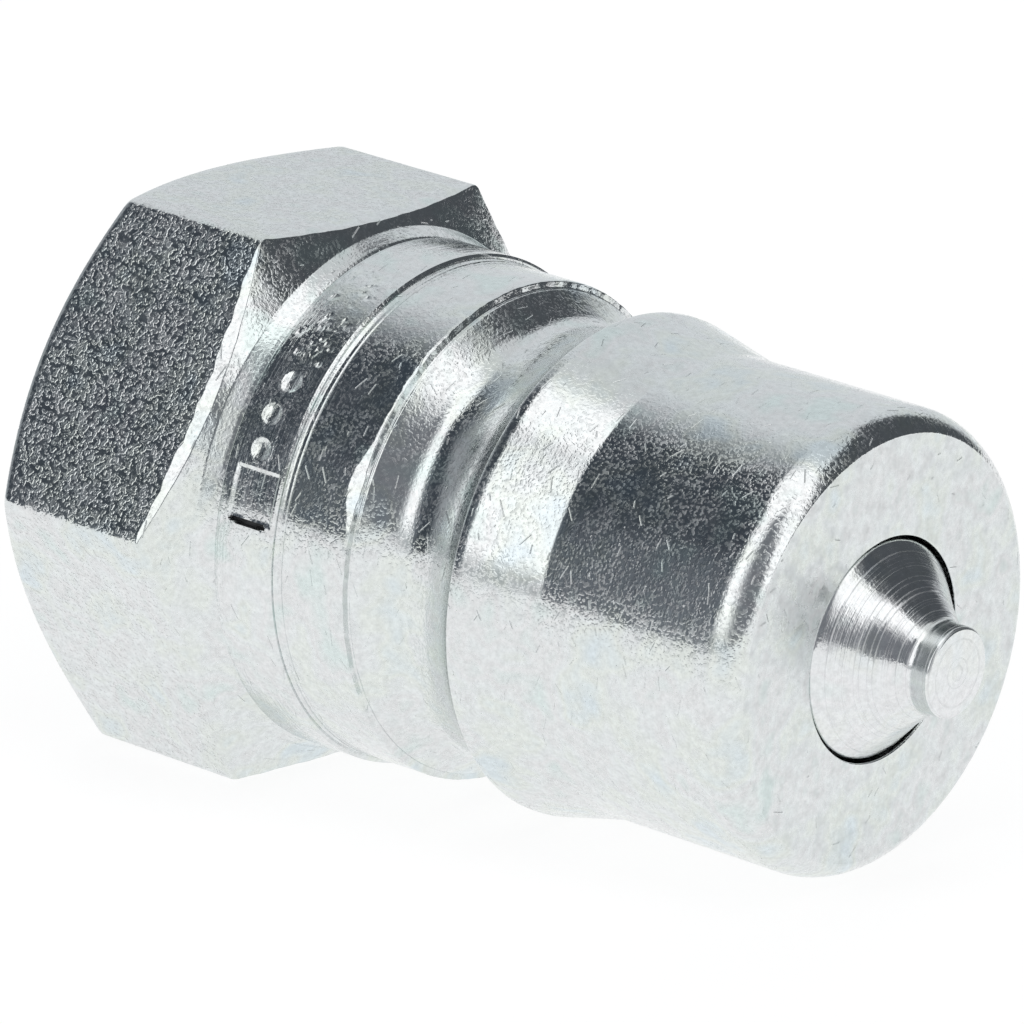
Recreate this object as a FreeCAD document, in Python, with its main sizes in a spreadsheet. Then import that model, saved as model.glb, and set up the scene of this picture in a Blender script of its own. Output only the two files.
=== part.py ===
"""Hydraulic quick-coupling nipple with a spring-loaded poppet valve.

The axis of the fitting is X. The origin is on the axis, in the plane of the rear port face, and the nose points
to +X. Two flats of the hexagon face up and down. Lengths are in millimetres.
"""
import FreeCAD, Part
import math
import os
import Sketcher
from FreeCAD import Placement, Rotation, Vector

FULL_TURN = 360.0
HEX_SIDES = 6
ON_AXIS = "0 mm"
SAME_PLACE = 1e-4
SMALLEST_CUT = 1e-3

# Driving sizes, in millimetres and degrees
SIZES = {
    # Outside of the body, from the rear to the nose
    "body_length": 42.6,  # rear port face to nose face
    "hex_flats": 27,  # across the flats of the hexagon
    "hex_corner_break": 0.1,  # turned off each corner of the hexagon
    "hex_start": 1.75,  # rear face to the hexagon's rear corners
    "hex_length": 8.6,  # length of the hexagon's corners
    "rear_face_inset": 0.73,  # flats in to the edge of the rear face
    "shoulder_rise": 0.4,  # small end of the cone in front of the hexagon, above the band
    "shoulder_length": 1.2,  # axial length of that cone
    "shoulder_step": 0.8,  # axial length of the run down to the marking band
    "shoulder_drop": 0.1,  # first small step of that run
    "shoulder_lead": 0.2,  # axial length of that small step
    "band_rise": 0.3,  # marking band above the collar
    "band_length": 3.65,  # length of the marking band
    "collar_face": 0.24,  # collar above the rim of the ball track
    "collar_length": 4.2,  # length of the collar
    "collar_chamfer": 0.15,  # run down from the band to the collar
    "track_lean": 0.09,  # axial lean of the collar's face
    "track_rim": 1.48,  # rim of the ball track at the collar's face, above its lowest point
    "track_depth": 1.69,  # lowest point of the ball track, below the locking ring's crest
    "track_wall": 40,  # slope of the track's rear wall, degrees from the axis
    "track_bottom": 1.8,  # radius between that wall and the lowest point
    "track_sweep": 5.27,  # radius of the curve from there up to the locking ring
    "ring_rise": 0.95,  # crest of the locking ring above the nose
    "ring_land": 0.46,  # length of the crest
    "ring_rear_round": 0.4,  # round behind the crest
    "ring_front_round": 1.2,  # round in front of the crest
    "cone_length": 4.1,  # cone from the crest down to the nose
    "nose_radius": 11.22,  # cylinder of the nose
    "nose_round": 1.9,  # round at the nose's front edge
    "nose_round_length": 1.65,  # axial length of that round

    # Inside of the body, from the rear to the nose
    "port_radius": 10.4775,  # major radius of the G 1/2 port thread
    "thread_depth": 1.162,  # major to minor radius of that thread
    "port_mouth": 0.45,  # chamfer at the mouth of the port
    "port_depth": 14.0,  # rear face to the end of the threaded bore
    "locating_play": 0.1155,  # crest of the thread to the bore that centres the valve guide
    "locating_length": 1.2,  # end of the port to the retaining ring's groove
    "groove_width": 1.3,  # width of that groove
    "groove_depth": 0.6,  # depth of that groove
    "guide_shoulder": 1.0,  # shoulder between the locating bore and the valve chamber
    "mouth_radius": 5.41,  # hole in the nose face
    "mouth_length": 3.0,  # straight length of that hole
    "shoulder_play": 0.1,  # guide's front face to the chamber's shoulder

    # Poppet and seal
    "mouth_gap": 0.28,  # poppet to the hole in the nose, all round
    "poppet_base": 0.05,  # nose face back to the start of the flare
    "flare_length": 1.45,  # first cone of the flare
    "flare_radius": 3.65,  # radius where the flare changes slope
    "taper_length": 1.7,  # second cone of the flare
    "tip_radius": 2.19,  # cylinder of the tip
    "tip_length": 1.2,  # length of the tip
    "tip_edge": 0.12,  # broken edge of the tip
    "head_gap": 0.3,  # poppet's conical head to the valve seat
    "head_play": 0.7,  # poppet's head to the wall of the chamber
    "head_rim": 2.5,  # length of the head's cylinder
    "boss_radius": 4.2,  # boss inside the spring, and hub of the guide
    "stem_radius": 2.4,  # poppet's stem
    "stem_overhang": 0.3,  # end of the stem behind the hub
    "stem_edge": 0.4,  # chamfer at the end of the stem
    "travel": 6.0,  # how far the poppet slides back
    "stop_gap": 0.05,  # boss to hub at full travel
    "seal_section": 0.85,  # section radius of the seal
    "seal_gap": 0.05,  # seal to valve seat, and seal to its groove

    # Guide, retaining ring and spring
    "guide_play": 0.05,  # guide to its bore, all round
    "guide_thickness": 2.2,  # plate of the guide
    "guide_edge": 0.3,  # chamfer on the edge of the plate
    "hub_rear": 1.8,  # hub behind the plate
    "hub_front": 2.4,  # hub in front of the plate
    "stem_play": 0.08,  # stem to the hub's bore, all round
    "spring_seat": 0.35,  # spring's outside to the inner edge of a flow slot
    "slot_wall": 1.15,  # outer edge of a flow slot to the guide's rim
    "slot_half_angle": 29,  # middle of a flow slot to the centre of its round end, degrees
    "slot_count": 4,  # flow slots in the guide
    "clip_thickness": 1.2,  # retaining ring
    "clip_play": 0.05,  # retaining ring to the bottom of its groove
    "clip_width": 1.7,  # retaining ring, on the side away from its gap
    "clip_offset": 0.35,  # how far its inner edge is off centre
    "lug_radius": 1.5,  # lug of the retaining ring
    "lug_inset": 0.35,  # lugs inside the ring's outer edge
    "lug_half_angle": 21,  # middle of the gap to a lug, degrees
    "lug_hole_radius": 0.75,  # plier hole in a lug
    "gap_width": 2.4,  # gap between the lugs
    "wire_radius": 0.55,  # spring wire
    "spring_play": 0.55,  # spring to the boss inside it
    "active_turns": 4.5,  # turns that work
    "closed_turns": 1.0,  # closed turns at each end
    "turn_play": 0.02,  # gap between closed turns
    "ground_share": 0.5,  # how much of the wire's radius is ground off at each end
    "turn_stations": 12,  # points of the centre line in each turn
}

doc = FreeCAD.newDocument("coupling_nipple")
sheet = doc.addObject("Spreadsheet::Sheet", "sizes")
for row, (name, value) in enumerate(SIZES.items(), 1):
    sheet.set(f"A{row}", name)
    sheet.set(f"B{row}", str(value))
    sheet.setAlias(f"B{row}", name)
doc.recompute()


def number(expression):
    """Value of an expression over the sheet, as a plain number."""
    value = sheet.evalExpression(expression)
    return float(getattr(value, "Value", value))


# Stations along the axis, as expressions over the sheet
BAR_RADIUS = "sizes.hex_flats / sqrt(3) - sizes.hex_corner_break"
LOCATING_RADIUS = "sizes.port_radius - sizes.thread_depth - sizes.locating_play"
GROOVE_RADIUS = f"{LOCATING_RADIUS} + sizes.groove_depth"
CHAMBER_RADIUS = f"{LOCATING_RADIUS} - sizes.guide_shoulder"
GUIDE_RADIUS = f"{LOCATING_RADIUS} - sizes.guide_play"
PIN_RADIUS = "sizes.mouth_radius - sizes.mouth_gap"
HEAD_RADIUS = f"({CHAMBER_RADIUS} - sizes.head_play)"
SEAL_RADIUS = f"({PIN_RADIUS} + {HEAD_RADIUS}) / 2"
COIL_RADIUS = "sizes.boss_radius + sizes.spring_play + sizes.wire_radius"
SLOT_INNER = f"({COIL_RADIUS} + sizes.wire_radius + sizes.spring_seat)"
SLOT_OUTER = f"({GUIDE_RADIUS} - sizes.slot_wall)"
CLIP_RADIUS = f"{GROOVE_RADIUS} - sizes.clip_play"
LUG_CIRCLE = f"({CLIP_RADIUS} - sizes.lug_inset - sizes.lug_radius)"
RING_RADIUS = "sizes.nose_radius + sizes.ring_rise"
TRACK_FLOOR = f"{RING_RADIUS} - sizes.track_depth"
TRACK_RIM_RADIUS = f"{TRACK_FLOOR} + sizes.track_rim"
COLLAR_RADIUS = f"{TRACK_RIM_RADIUS} + sizes.collar_face"
BAND_RADIUS = f"{COLLAR_RADIUS} + sizes.band_rise"
SHOULDER_RADIUS = f"{BAND_RADIUS} + sizes.shoulder_rise"
HEX_FRONT = "sizes.hex_start + sizes.hex_length"
SHOULDER = f"{HEX_FRONT} + sizes.shoulder_length"
BAND_START = f"{SHOULDER} + sizes.shoulder_step"
BAND_END = f"{BAND_START} + sizes.band_length"
COLLAR_END = f"{BAND_END} + sizes.collar_length"
TRACK_START = f"{COLLAR_END} + sizes.track_lean"
WALL_FOOT_RISE = "sizes.track_bottom * (1 - cos(sizes.track_wall))"
WALL_FOOT_RADIUS = f"{TRACK_FLOOR} + {WALL_FOOT_RISE}"
WALL_FOOT = f"{TRACK_START} + (sizes.track_rim - {WALL_FOOT_RISE}) / tan(sizes.track_wall)"
TRACK_MIDDLE = f"{WALL_FOOT} + sizes.track_bottom * sin(sizes.track_wall)"
BOTTOM_CENTRE = f"{TRACK_FLOOR} + sizes.track_bottom"
SWEEP_CENTRE = f"{TRACK_FLOOR} + sizes.track_sweep"
TRACK_RISE = "sizes.track_sweep - sizes.track_depth"
RING_START = f"{TRACK_MIDDLE} + sqrt(sizes.track_sweep * sizes.track_sweep - ({TRACK_RISE}) * ({TRACK_RISE}))"
RING_END = f"{RING_START} + sizes.ring_land"
NOSE_START = f"{RING_END} + sizes.cone_length"
NOSE_END = "sizes.body_length - sizes.nose_round_length"
GROOVE_START = "sizes.port_depth + sizes.locating_length"
GUIDE_REAR = f"{GROOVE_START} + sizes.clip_thickness"
GUIDE_FRONT = f"{GUIDE_REAR} + sizes.guide_thickness"
HUB_REAR = f"{GUIDE_REAR} - sizes.hub_rear"
HUB_FRONT = f"{GUIDE_FRONT} + sizes.hub_front"
CHAMBER_START = f"{GUIDE_FRONT} + sizes.shoulder_play"
SEAT_END = "sizes.body_length - sizes.mouth_length"

# The valve seat is a cone at 45 degrees, so station plus radius is the same all along it
SEAT_SUM = f"{SEAT_END} + sizes.mouth_radius"
SEAT_START = f"{SEAT_SUM} - ({CHAMBER_RADIUS})"
HEAD_SUM = f"{SEAT_SUM} - sqrt(2) * sizes.head_gap"
HEAD_REAR = f"{HEAD_SUM} - {HEAD_RADIUS} - sizes.head_rim"
FLARE_START = "sizes.body_length - sizes.poppet_base"
TIP_START = f"{FLARE_START} + sizes.flare_length + sizes.taper_length"
TIP_END = f"{TIP_START} + sizes.tip_length"
BOSS_REAR = f"{HUB_FRONT} + sizes.travel + sizes.stop_gap"
STEM_REAR = f"{HUB_REAR} - sizes.stem_overhang"
SEAL_DEPTH = "sqrt(2) * (sizes.seal_section + sizes.seal_gap)"
SEAL_STATION = f"{SEAT_SUM} - {SEAL_DEPTH} - {SEAL_RADIUS}"


def plane(body, role):
    """One of a body's own origin planes."""
    return next(feature for feature in body.Origin.OriginFeatures if feature.Role == role)


def new_sketch(body, name, role, station=None):
    """Empty sketch on an origin plane, or parallel to it at a station along the axis."""
    sketch = body.newObject("Sketcher::SketchObject", name)
    sketch.AttachmentSupport = [(plane(body, role), "")]
    sketch.MapMode = "FlatFace"
    if station:
        sketch.setExpression("AttachmentOffset.Base.z", station)
    return sketch


def drive(sketch, constraint, name, expression):
    """Adds a dimension and ties it to the sheet."""
    index = sketch.addConstraint(constraint)
    sketch.renameConstraint(index, name)
    sketch.setExpression(f"Constraints.{name}", expression)


def outline(body, name, corners, bends=None):
    """Closed half-section beside the axis.

    corners are (station, radius) expressions, in order; a radius of None is left to the bend that ends there.
    bends maps a corner's index to the (station, radius, sense) of the centre of the arc that follows it.
    """
    bends = bends or {}
    sketch = new_sketch(body, name, "XZ_Plane")
    count = len(corners)
    points = []
    for index, (station, radius) in enumerate(corners):
        if radius is None:
            centre_x, centre_y, sense = bends[index - 1]
            reach = math.dist(points[-1], (number(centre_x), number(centre_y)))
            across = number(station) - number(centre_x)
            height = math.sqrt(reach ** 2 - across ** 2)
            points.append((number(station), number(centre_y) + (height if sense == "right" else -height)))
        else:
            points.append((number(station), number(radius)))
    ends = []
    for index, point in enumerate(points):
        here = Vector(*point, 0)
        there = Vector(*points[(index + 1) % count], 0)
        if index in bends:
            centre_x, centre_y, sense = bends[index]
            centre = Vector(number(centre_x), number(centre_y), 0)
            first, last = (here, there) if sense == "left" else (there, here)
            circle = Part.Circle(centre, Vector(0, 0, 1), (here - centre).Length)
            angles = [math.atan2(p.y - centre.y, p.x - centre.x) for p in (first, last)]
            sketch.addGeometry(Part.ArcOfCircle(circle, *angles))
            ends.append((1, 2) if sense == "left" else (2, 1))
        else:
            sketch.addGeometry(Part.LineSegment(here, there))
            ends.append((1, 2))
    for index in range(count):
        after = (index + 1) % count
        sketch.addConstraint(Sketcher.Constraint("Coincident", index, ends[index][1], after, ends[after][0]))
    for index, (station, radius) in enumerate(corners):
        end = ends[index][0]
        x, y = points[index]
        if station == ON_AXIS:
            sketch.addConstraint(Sketcher.Constraint("PointOnObject", index, end, -2))
        else:
            drive(sketch, Sketcher.Constraint("DistanceX", -1, 1, index, end, x), f"station_{index}", station)
        if radius == ON_AXIS:
            sketch.addConstraint(Sketcher.Constraint("PointOnObject", index, end, -1))
        elif radius is not None:
            drive(sketch, Sketcher.Constraint("DistanceY", -1, 1, index, end, y), f"radius_{index}", radius)
    for index, (centre_x, centre_y, _) in bends.items():
        x, y = number(centre_x), number(centre_y)
        drive(sketch, Sketcher.Constraint("DistanceX", -1, 1, index, 3, x), f"centre_station_{index}", centre_x)
        drive(sketch, Sketcher.Constraint("DistanceY", -1, 1, index, 3, y), f"centre_radius_{index}", centre_y)
    return sketch


def turned(body, kind, name, sketch):
    """Revolution or Groove of a half-section about the axis."""
    feature = body.newObject(f"PartDesign::{kind}", name)
    feature.Profile = sketch
    feature.ReferenceAxis = (sketch, ["H_Axis"])
    feature.Angle = FULL_TURN
    doc.recompute()
    return feature


def rim(feature, station, radius):
    """Name of the circular edge at a station and radius."""
    x, r = number(station), number(radius)
    for index, edge in enumerate(feature.Shape.Edges, 1):
        curve = edge.Curve
        if isinstance(curve, Part.Circle) and abs(curve.Center.x - x) + abs(curve.Radius - r) < SAME_PLACE:
            return f"Edge{index}"
    raise ValueError(f"no rim at {x}, {r}")


def rounded(body, name, base, radius, *rims):
    """Fillet along circular edges, each given as (station, radius)."""
    fillet = body.newObject("PartDesign::Fillet", name)
    fillet.Base = (base, [rim(base, *place) for place in rims])
    fillet.setExpression("Radius", radius)
    doc.recompute()
    return fillet


def cut_checked(body, feature, before):
    """Makes sure that a cut took material away."""
    doc.recompute()
    if not body.Shape.Volume < before - SMALLEST_CUT:
        raise ValueError(f"{feature.Name} cuts nothing")


# Body of the nipple
def make_nipple_body():
    body = doc.addObject("PartDesign::Body", "nipple_body")
    skin = [
        (ON_AXIS, ON_AXIS),
        (ON_AXIS, "sizes.hex_flats / 2 - sizes.rear_face_inset"),
        ("sizes.hex_start", BAR_RADIUS),
        (HEX_FRONT, BAR_RADIUS),
        (SHOULDER, SHOULDER_RADIUS),
        (f"{SHOULDER} + sizes.shoulder_lead", f"{SHOULDER_RADIUS} - sizes.shoulder_drop"),
        (BAND_START, BAND_RADIUS),
        (BAND_END, BAND_RADIUS),
        (f"{BAND_END} + sizes.collar_chamfer", COLLAR_RADIUS),
        (COLLAR_END, COLLAR_RADIUS),
        (TRACK_START, TRACK_RIM_RADIUS),
        (WALL_FOOT, WALL_FOOT_RADIUS),
        (TRACK_MIDDLE, None),
        (RING_START, None),
        (RING_END, RING_RADIUS),
        (NOSE_START, "sizes.nose_radius"),
        (NOSE_END, "sizes.nose_radius"),
        ("sizes.body_length", None),
        ("sizes.body_length", ON_AXIS),
    ]
    bends = {
        11: (TRACK_MIDDLE, BOTTOM_CENTRE, "left"),
        12: (TRACK_MIDDLE, SWEEP_CENTRE, "left"),
        16: (NOSE_END, "sizes.nose_radius - sizes.nose_round", "right"),
    }
    bar = turned(body, "Revolution", "turned_bar", outline(body, "skin", skin, bends))
    bar = rounded(body, "ring_rear_round", bar, "sizes.ring_rear_round", (RING_START, RING_RADIUS))
    bar = rounded(body, "ring_front_round", bar, "sizes.ring_front_round", (RING_END, RING_RADIUS))

    flats = new_sketch(body, "flats", "YZ_Plane")
    corner = number("sizes.hex_flats") / math.sqrt(3)
    around = [math.radians(FULL_TURN * side / HEX_SIDES) for side in range(HEX_SIDES + 1)]
    corners = [Vector(corner * math.cos(angle), corner * math.sin(angle), 0) for angle in around]
    for side in range(HEX_SIDES):
        flats.addGeometry(Part.LineSegment(corners[side], corners[side + 1]))
    for side in range(HEX_SIDES):
        flats.addConstraint(Sketcher.Constraint("Coincident", side, 2, (side + 1) % HEX_SIDES, 1))
    flats.addGeometry(Part.Circle(Vector(0, 0, 0), Vector(0, 0, 1), corner), True)
    flats.addConstraint(Sketcher.Constraint("Coincident", HEX_SIDES, 3, -1, 1))
    for side in range(HEX_SIDES):
        flats.addConstraint(Sketcher.Constraint("PointOnObject", side, 1, HEX_SIDES))
    for side in range(HEX_SIDES - 1):
        flats.addConstraint(Sketcher.Constraint("Equal", side, side + 1))
    flats.addConstraint(Sketcher.Constraint("Horizontal", 1))
    corner_circle = Sketcher.Constraint("Radius", HEX_SIDES, corner)
    drive(flats, corner_circle, "corner_circle", "sizes.hex_flats / sqrt(3)")
    clear = number("sizes.hex_flats")
    flats.addGeometry(Part.Circle(Vector(0, 0, 0), Vector(0, 0, 1), clear))
    flats.addConstraint(Sketcher.Constraint("Coincident", HEX_SIDES + 1, 3, -1, 1))
    drive(flats, Sketcher.Constraint("Radius", HEX_SIDES + 1, clear), "clear_circle", "sizes.hex_flats")
    before = body.Shape.Volume
    milled = body.newObject("PartDesign::Pocket", "hexagon")
    milled.Profile = flats
    milled.Reversed = True
    milled.setExpression("Length", BAND_START)
    cut_checked(body, milled, before)

    bore = [
        (ON_AXIS, ON_AXIS),
        (ON_AXIS, "sizes.port_radius + sizes.port_mouth"),
        ("sizes.port_mouth", "sizes.port_radius"),
        ("sizes.port_depth", "sizes.port_radius"),
        ("sizes.port_depth", LOCATING_RADIUS),
        (GROOVE_START, LOCATING_RADIUS),
        (GROOVE_START, GROOVE_RADIUS),
        (f"{GROOVE_START} + sizes.groove_width", GROOVE_RADIUS),
        (f"{GROOVE_START} + sizes.groove_width", LOCATING_RADIUS),
        (CHAMBER_START, LOCATING_RADIUS),
        (CHAMBER_START, CHAMBER_RADIUS),
        (SEAT_START, CHAMBER_RADIUS),
        (SEAT_END, "sizes.mouth_radius"),
        ("sizes.body_length", "sizes.mouth_radius"),
        ("sizes.body_length", ON_AXIS),
    ]
    before = body.Shape.Volume
    bored = turned(body, "Groove", "bored", outline(body, "bore", bore))
    cut_checked(body, bored, before)
    return body


# Poppet
def make_poppet():
    body = doc.addObject("PartDesign::Body", "poppet")
    section = [
        (STEM_REAR, ON_AXIS),
        (STEM_REAR, "sizes.stem_radius - sizes.stem_edge"),
        (f"{STEM_REAR} + sizes.stem_edge", "sizes.stem_radius"),
        (BOSS_REAR, "sizes.stem_radius"),
        (BOSS_REAR, "sizes.boss_radius"),
        (HEAD_REAR, "sizes.boss_radius"),
        (HEAD_REAR, HEAD_RADIUS),
        (f"{HEAD_SUM} - {HEAD_RADIUS}", HEAD_RADIUS),
        (f"{HEAD_SUM} - ({PIN_RADIUS})", PIN_RADIUS),
        (FLARE_START, PIN_RADIUS),
        (f"{FLARE_START} + sizes.flare_length", "sizes.flare_radius"),
        (TIP_START, "sizes.tip_radius"),
        (f"{TIP_END} - sizes.tip_edge", "sizes.tip_radius"),
        (TIP_END, "sizes.tip_radius - sizes.tip_edge"),
        (TIP_END, ON_AXIS),
    ]
    turned(body, "Revolution", "turned_poppet", outline(body, "section", section))

    groove = new_sketch(body, "seal_groove_section", "XZ_Plane")
    x, r = number(SEAL_STATION), number(SEAL_RADIUS)
    radius = number("sizes.seal_section + sizes.seal_gap")
    groove.addGeometry(Part.Circle(Vector(x, r, 0), Vector(0, 0, 1), radius))
    drive(groove, Sketcher.Constraint("DistanceX", -1, 1, 0, 3, x), "station", SEAL_STATION)
    drive(groove, Sketcher.Constraint("DistanceY", -1, 1, 0, 3, r), "centre_line", SEAL_RADIUS)
    drive(groove, Sketcher.Constraint("Radius", 0, radius), "section", "sizes.seal_section + sizes.seal_gap")
    before = body.Shape.Volume
    cut_checked(body, turned(body, "Groove", "seal_groove", groove), before)
    return body


# Seal
def make_poppet_seal():
    seal = doc.addObject("Part::Torus", "poppet_seal")
    seal.setExpression("Radius1", SEAL_RADIUS)
    seal.setExpression("Radius2", "sizes.seal_section")
    seal.Placement = Placement(Vector(number(SEAL_STATION), 0, 0), Rotation(Vector(0, 1, 0), 90))
    seal.setExpression("Placement.Base.x", SEAL_STATION)
    return seal


# Valve guide
def make_valve_guide():
    body = doc.addObject("PartDesign::Body", "valve_guide")
    section = [
        (HUB_REAR, "sizes.stem_radius + sizes.stem_play"),
        (HUB_REAR, "sizes.boss_radius"),
        (GUIDE_REAR, "sizes.boss_radius"),
        (GUIDE_REAR, f"{GUIDE_RADIUS} - sizes.guide_edge"),
        (f"{GUIDE_REAR} + sizes.guide_edge", GUIDE_RADIUS),
        (GUIDE_FRONT, GUIDE_RADIUS),
        (GUIDE_FRONT, "sizes.boss_radius"),
        (HUB_FRONT, "sizes.boss_radius"),
        (HUB_FRONT, "sizes.stem_radius + sizes.stem_play"),
    ]
    turned(body, "Revolution", "turned_guide", outline(body, "section", section))

    slot = new_sketch(body, "slot", "YZ_Plane", GUIDE_REAR)
    inner, outer = number(SLOT_INNER), number(SLOT_OUTER)
    middle, end_radius = (inner + outer) / 2, (outer - inner) / 2
    half = math.radians(number("sizes.slot_half_angle"))
    up = math.pi / 2
    out_of_plane = Vector(0, 0, 1)
    centres = [Vector(middle * math.cos(up + s * half), middle * math.sin(up + s * half), 0) for s in (-1, 1)]
    slot.addGeometry(Part.ArcOfCircle(Part.Circle(Vector(0, 0, 0), out_of_plane, outer), up - half, up + half))
    slot.addGeometry(Part.ArcOfCircle(Part.Circle(Vector(0, 0, 0), out_of_plane, inner), up - half, up + half))
    right_end = Part.Circle(centres[0], out_of_plane, end_radius)
    left_end = Part.Circle(centres[1], out_of_plane, end_radius)
    slot.addGeometry(Part.ArcOfCircle(right_end, up - half - math.pi, up - half))
    slot.addGeometry(Part.ArcOfCircle(left_end, up + half, up + half + math.pi))
    slot.addConstraint(Sketcher.Constraint("Coincident", 0, 3, -1, 1))
    slot.addConstraint(Sketcher.Constraint("Coincident", 1, 3, -1, 1))
    for first, first_end, second, second_end in ((0, 1, 2, 2), (2, 1, 1, 1), (1, 2, 3, 2), (3, 1, 0, 2)):
        slot.addConstraint(Sketcher.Constraint("Tangent", first, first_end, second, second_end))
    drive(slot, Sketcher.Constraint("Radius", 0, outer), "outer_edge", SLOT_OUTER)
    drive(slot, Sketcher.Constraint("Radius", 1, inner), "inner_edge", SLOT_INNER)
    across = f"({SLOT_INNER} + {SLOT_OUTER}) / 2 * sin(sizes.slot_half_angle * 1 deg)"
    for end, name, centre in ((2, "right_end", centres[0]), (3, "left_end", centres[1])):
        first, second = ((-1, 1), (end, 3)) if centre.x > 0 else ((end, 3), (-1, 1))
        drive(slot, Sketcher.Constraint("DistanceX", *first, *second, abs(centre.x)), name, across)
    before = body.Shape.Volume
    pocket = body.newObject("PartDesign::Pocket", "flow_slot")
    pocket.Profile = slot
    pocket.Reversed = True
    pocket.setExpression("Length", "sizes.guide_thickness")
    cut_checked(body, pocket, before)
    slots = body.newObject("PartDesign::PolarPattern", "flow_slots")
    slots.Originals = [pocket]
    slots.Axis = (slot, ["N_Axis"])
    slots.Angle = FULL_TURN
    slots.setExpression("Occurrences", "sizes.slot_count")
    body.Tip = slots
    doc.recompute()
    return body


# Retaining ring
def make_retaining_ring():
    body = doc.addObject("PartDesign::Body", "retaining_ring")
    out_of_plane = Vector(0, 0, 1)
    inner_radius = f"{CLIP_RADIUS} - sizes.clip_width + sizes.clip_offset"

    band = new_sketch(body, "band", "YZ_Plane", GROOVE_START)
    offset = number("sizes.clip_offset")
    band.addGeometry(Part.Circle(Vector(0, 0, 0), out_of_plane, number(CLIP_RADIUS)))
    band.addGeometry(Part.Circle(Vector(0, offset, 0), out_of_plane, number(inner_radius)))
    band.addConstraint(Sketcher.Constraint("Coincident", 0, 3, -1, 1))
    band.addConstraint(Sketcher.Constraint("PointOnObject", 1, 3, -2))
    drive(band, Sketcher.Constraint("Radius", 0, number(CLIP_RADIUS)), "outer_edge", CLIP_RADIUS)
    drive(band, Sketcher.Constraint("Radius", 1, number(inner_radius)), "inner_edge", inner_radius)
    drive(band, Sketcher.Constraint("DistanceY", -1, 1, 1, 3, offset), "off_centre", "sizes.clip_offset")
    plate = body.newObject("PartDesign::Pad", "plate")
    plate.Profile = band
    plate.setExpression("Length", "sizes.clip_thickness")
    doc.recompute()

    def pair_of_circles(name, radius):
        sketch = new_sketch(body, name, "YZ_Plane", GROOVE_START)
        circle, half = number(LUG_CIRCLE), math.radians(number("sizes.lug_half_angle"))
        x, y = circle * math.sin(half), circle * math.cos(half)
        for index, side in enumerate((-1, 1)):
            sketch.addGeometry(Part.Circle(Vector(side * x, y, 0), out_of_plane, number(radius)))
            first, second = ((index, 3), (-1, 1)) if side < 0 else ((-1, 1), (index, 3))
            across = f"{LUG_CIRCLE} * sin(sizes.lug_half_angle * 1 deg)"
            height = f"{LUG_CIRCLE} * cos(sizes.lug_half_angle * 1 deg)"
            drive(sketch, Sketcher.Constraint("DistanceX", *first, *second, x), f"across_{index}", across)
            drive(sketch, Sketcher.Constraint("DistanceY", -1, 1, index, 3, y), f"height_{index}", height)
            drive(sketch, Sketcher.Constraint("Radius", index, number(radius)), f"radius_{index}", radius)
        return sketch

    lugs = body.newObject("PartDesign::Pad", "lugs")
    lugs.Profile = pair_of_circles("lug_circles", "sizes.lug_radius")
    lugs.setExpression("Length", "sizes.clip_thickness")
    doc.recompute()

    gap = new_sketch(body, "gap_outline", "YZ_Plane", GROOVE_START)
    width, reach = number("sizes.gap_width"), number(GROOVE_RADIUS)
    half = width / 2
    corners = [Vector(-half, 0, 0), Vector(half, 0, 0), Vector(half, reach, 0), Vector(-half, reach, 0)]
    for index in range(4):
        gap.addGeometry(Part.LineSegment(corners[index], corners[(index + 1) % 4]))
    for index, kind in enumerate(("Horizontal", "Vertical", "Horizontal", "Vertical")):
        gap.addConstraint(Sketcher.Constraint("Coincident", index, 2, (index + 1) % 4, 1))
        gap.addConstraint(Sketcher.Constraint(kind, index))
    gap.addConstraint(Sketcher.Constraint("Symmetric", 0, 1, 0, 2, -1, 1))
    drive(gap, Sketcher.Constraint("DistanceX", 0, 1, 0, 2, width), "width", "sizes.gap_width")
    drive(gap, Sketcher.Constraint("DistanceY", 1, 1, 1, 2, reach), "reach", GROOVE_RADIUS)
    for name, sketch in (("gap", gap), ("plier_holes", pair_of_circles("hole_circles", "sizes.lug_hole_radius"))):
        before = body.Shape.Volume
        pocket = body.newObject("PartDesign::Pocket", name)
        pocket.Profile = sketch
        pocket.Reversed = True
        pocket.setExpression("Length", "sizes.clip_thickness")
        cut_checked(body, pocket, before)
    return body


# Spring
def make_valve_spring():
    """Compression spring between the guide's plate and the poppet's head, its end turns closed and ground."""
    rear, front = number(GUIDE_FRONT), number(HEAD_REAR)
    wire, coil = number("sizes.wire_radius"), number(COIL_RADIUS)
    closed, active = number("sizes.closed_turns"), number("sizes.active_turns")
    sunk = wire * (1 - number("sizes.ground_share"))
    closed_pitch = 2 * wire + number("sizes.turn_play")
    turns = active + 2 * closed
    rise = front - rear - 2 * sunk - turns * closed_pitch
    steps = round(turns * number("sizes.turn_stations"))
    points = []
    for step in range(steps + 1):
        turn = turns * step / steps
        share = min(max((turn - closed) / active, 0.0), 1.0)
        opened = share - math.sin(2 * math.pi * share) / (2 * math.pi)
        station = rear + sunk + closed_pitch * turn + rise * opened
        angle = 2 * math.pi * turn
        points.append(Vector(station, coil * math.cos(angle), coil * math.sin(angle)))
    centre_line = Part.BSplineCurve()
    centre_line.interpolate(points)
    start, along = centre_line.value(0.0), centre_line.tangent(0.0)[0]
    section = Part.Wire(Part.makeCircle(wire, start, along))
    coil_shape = Part.Wire(centre_line.toShape()).makePipeShell([section], True, True)
    between_seats = Part.makeCylinder(coil + 2 * wire, front - rear, Vector(rear, 0, 0), Vector(1, 0, 0))
    spring = doc.addObject("Part::Feature", "valve_spring")
    spring.Shape = coil_shape.common(between_seats)
    spring.Placement = Placement()
    return spring


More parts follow.
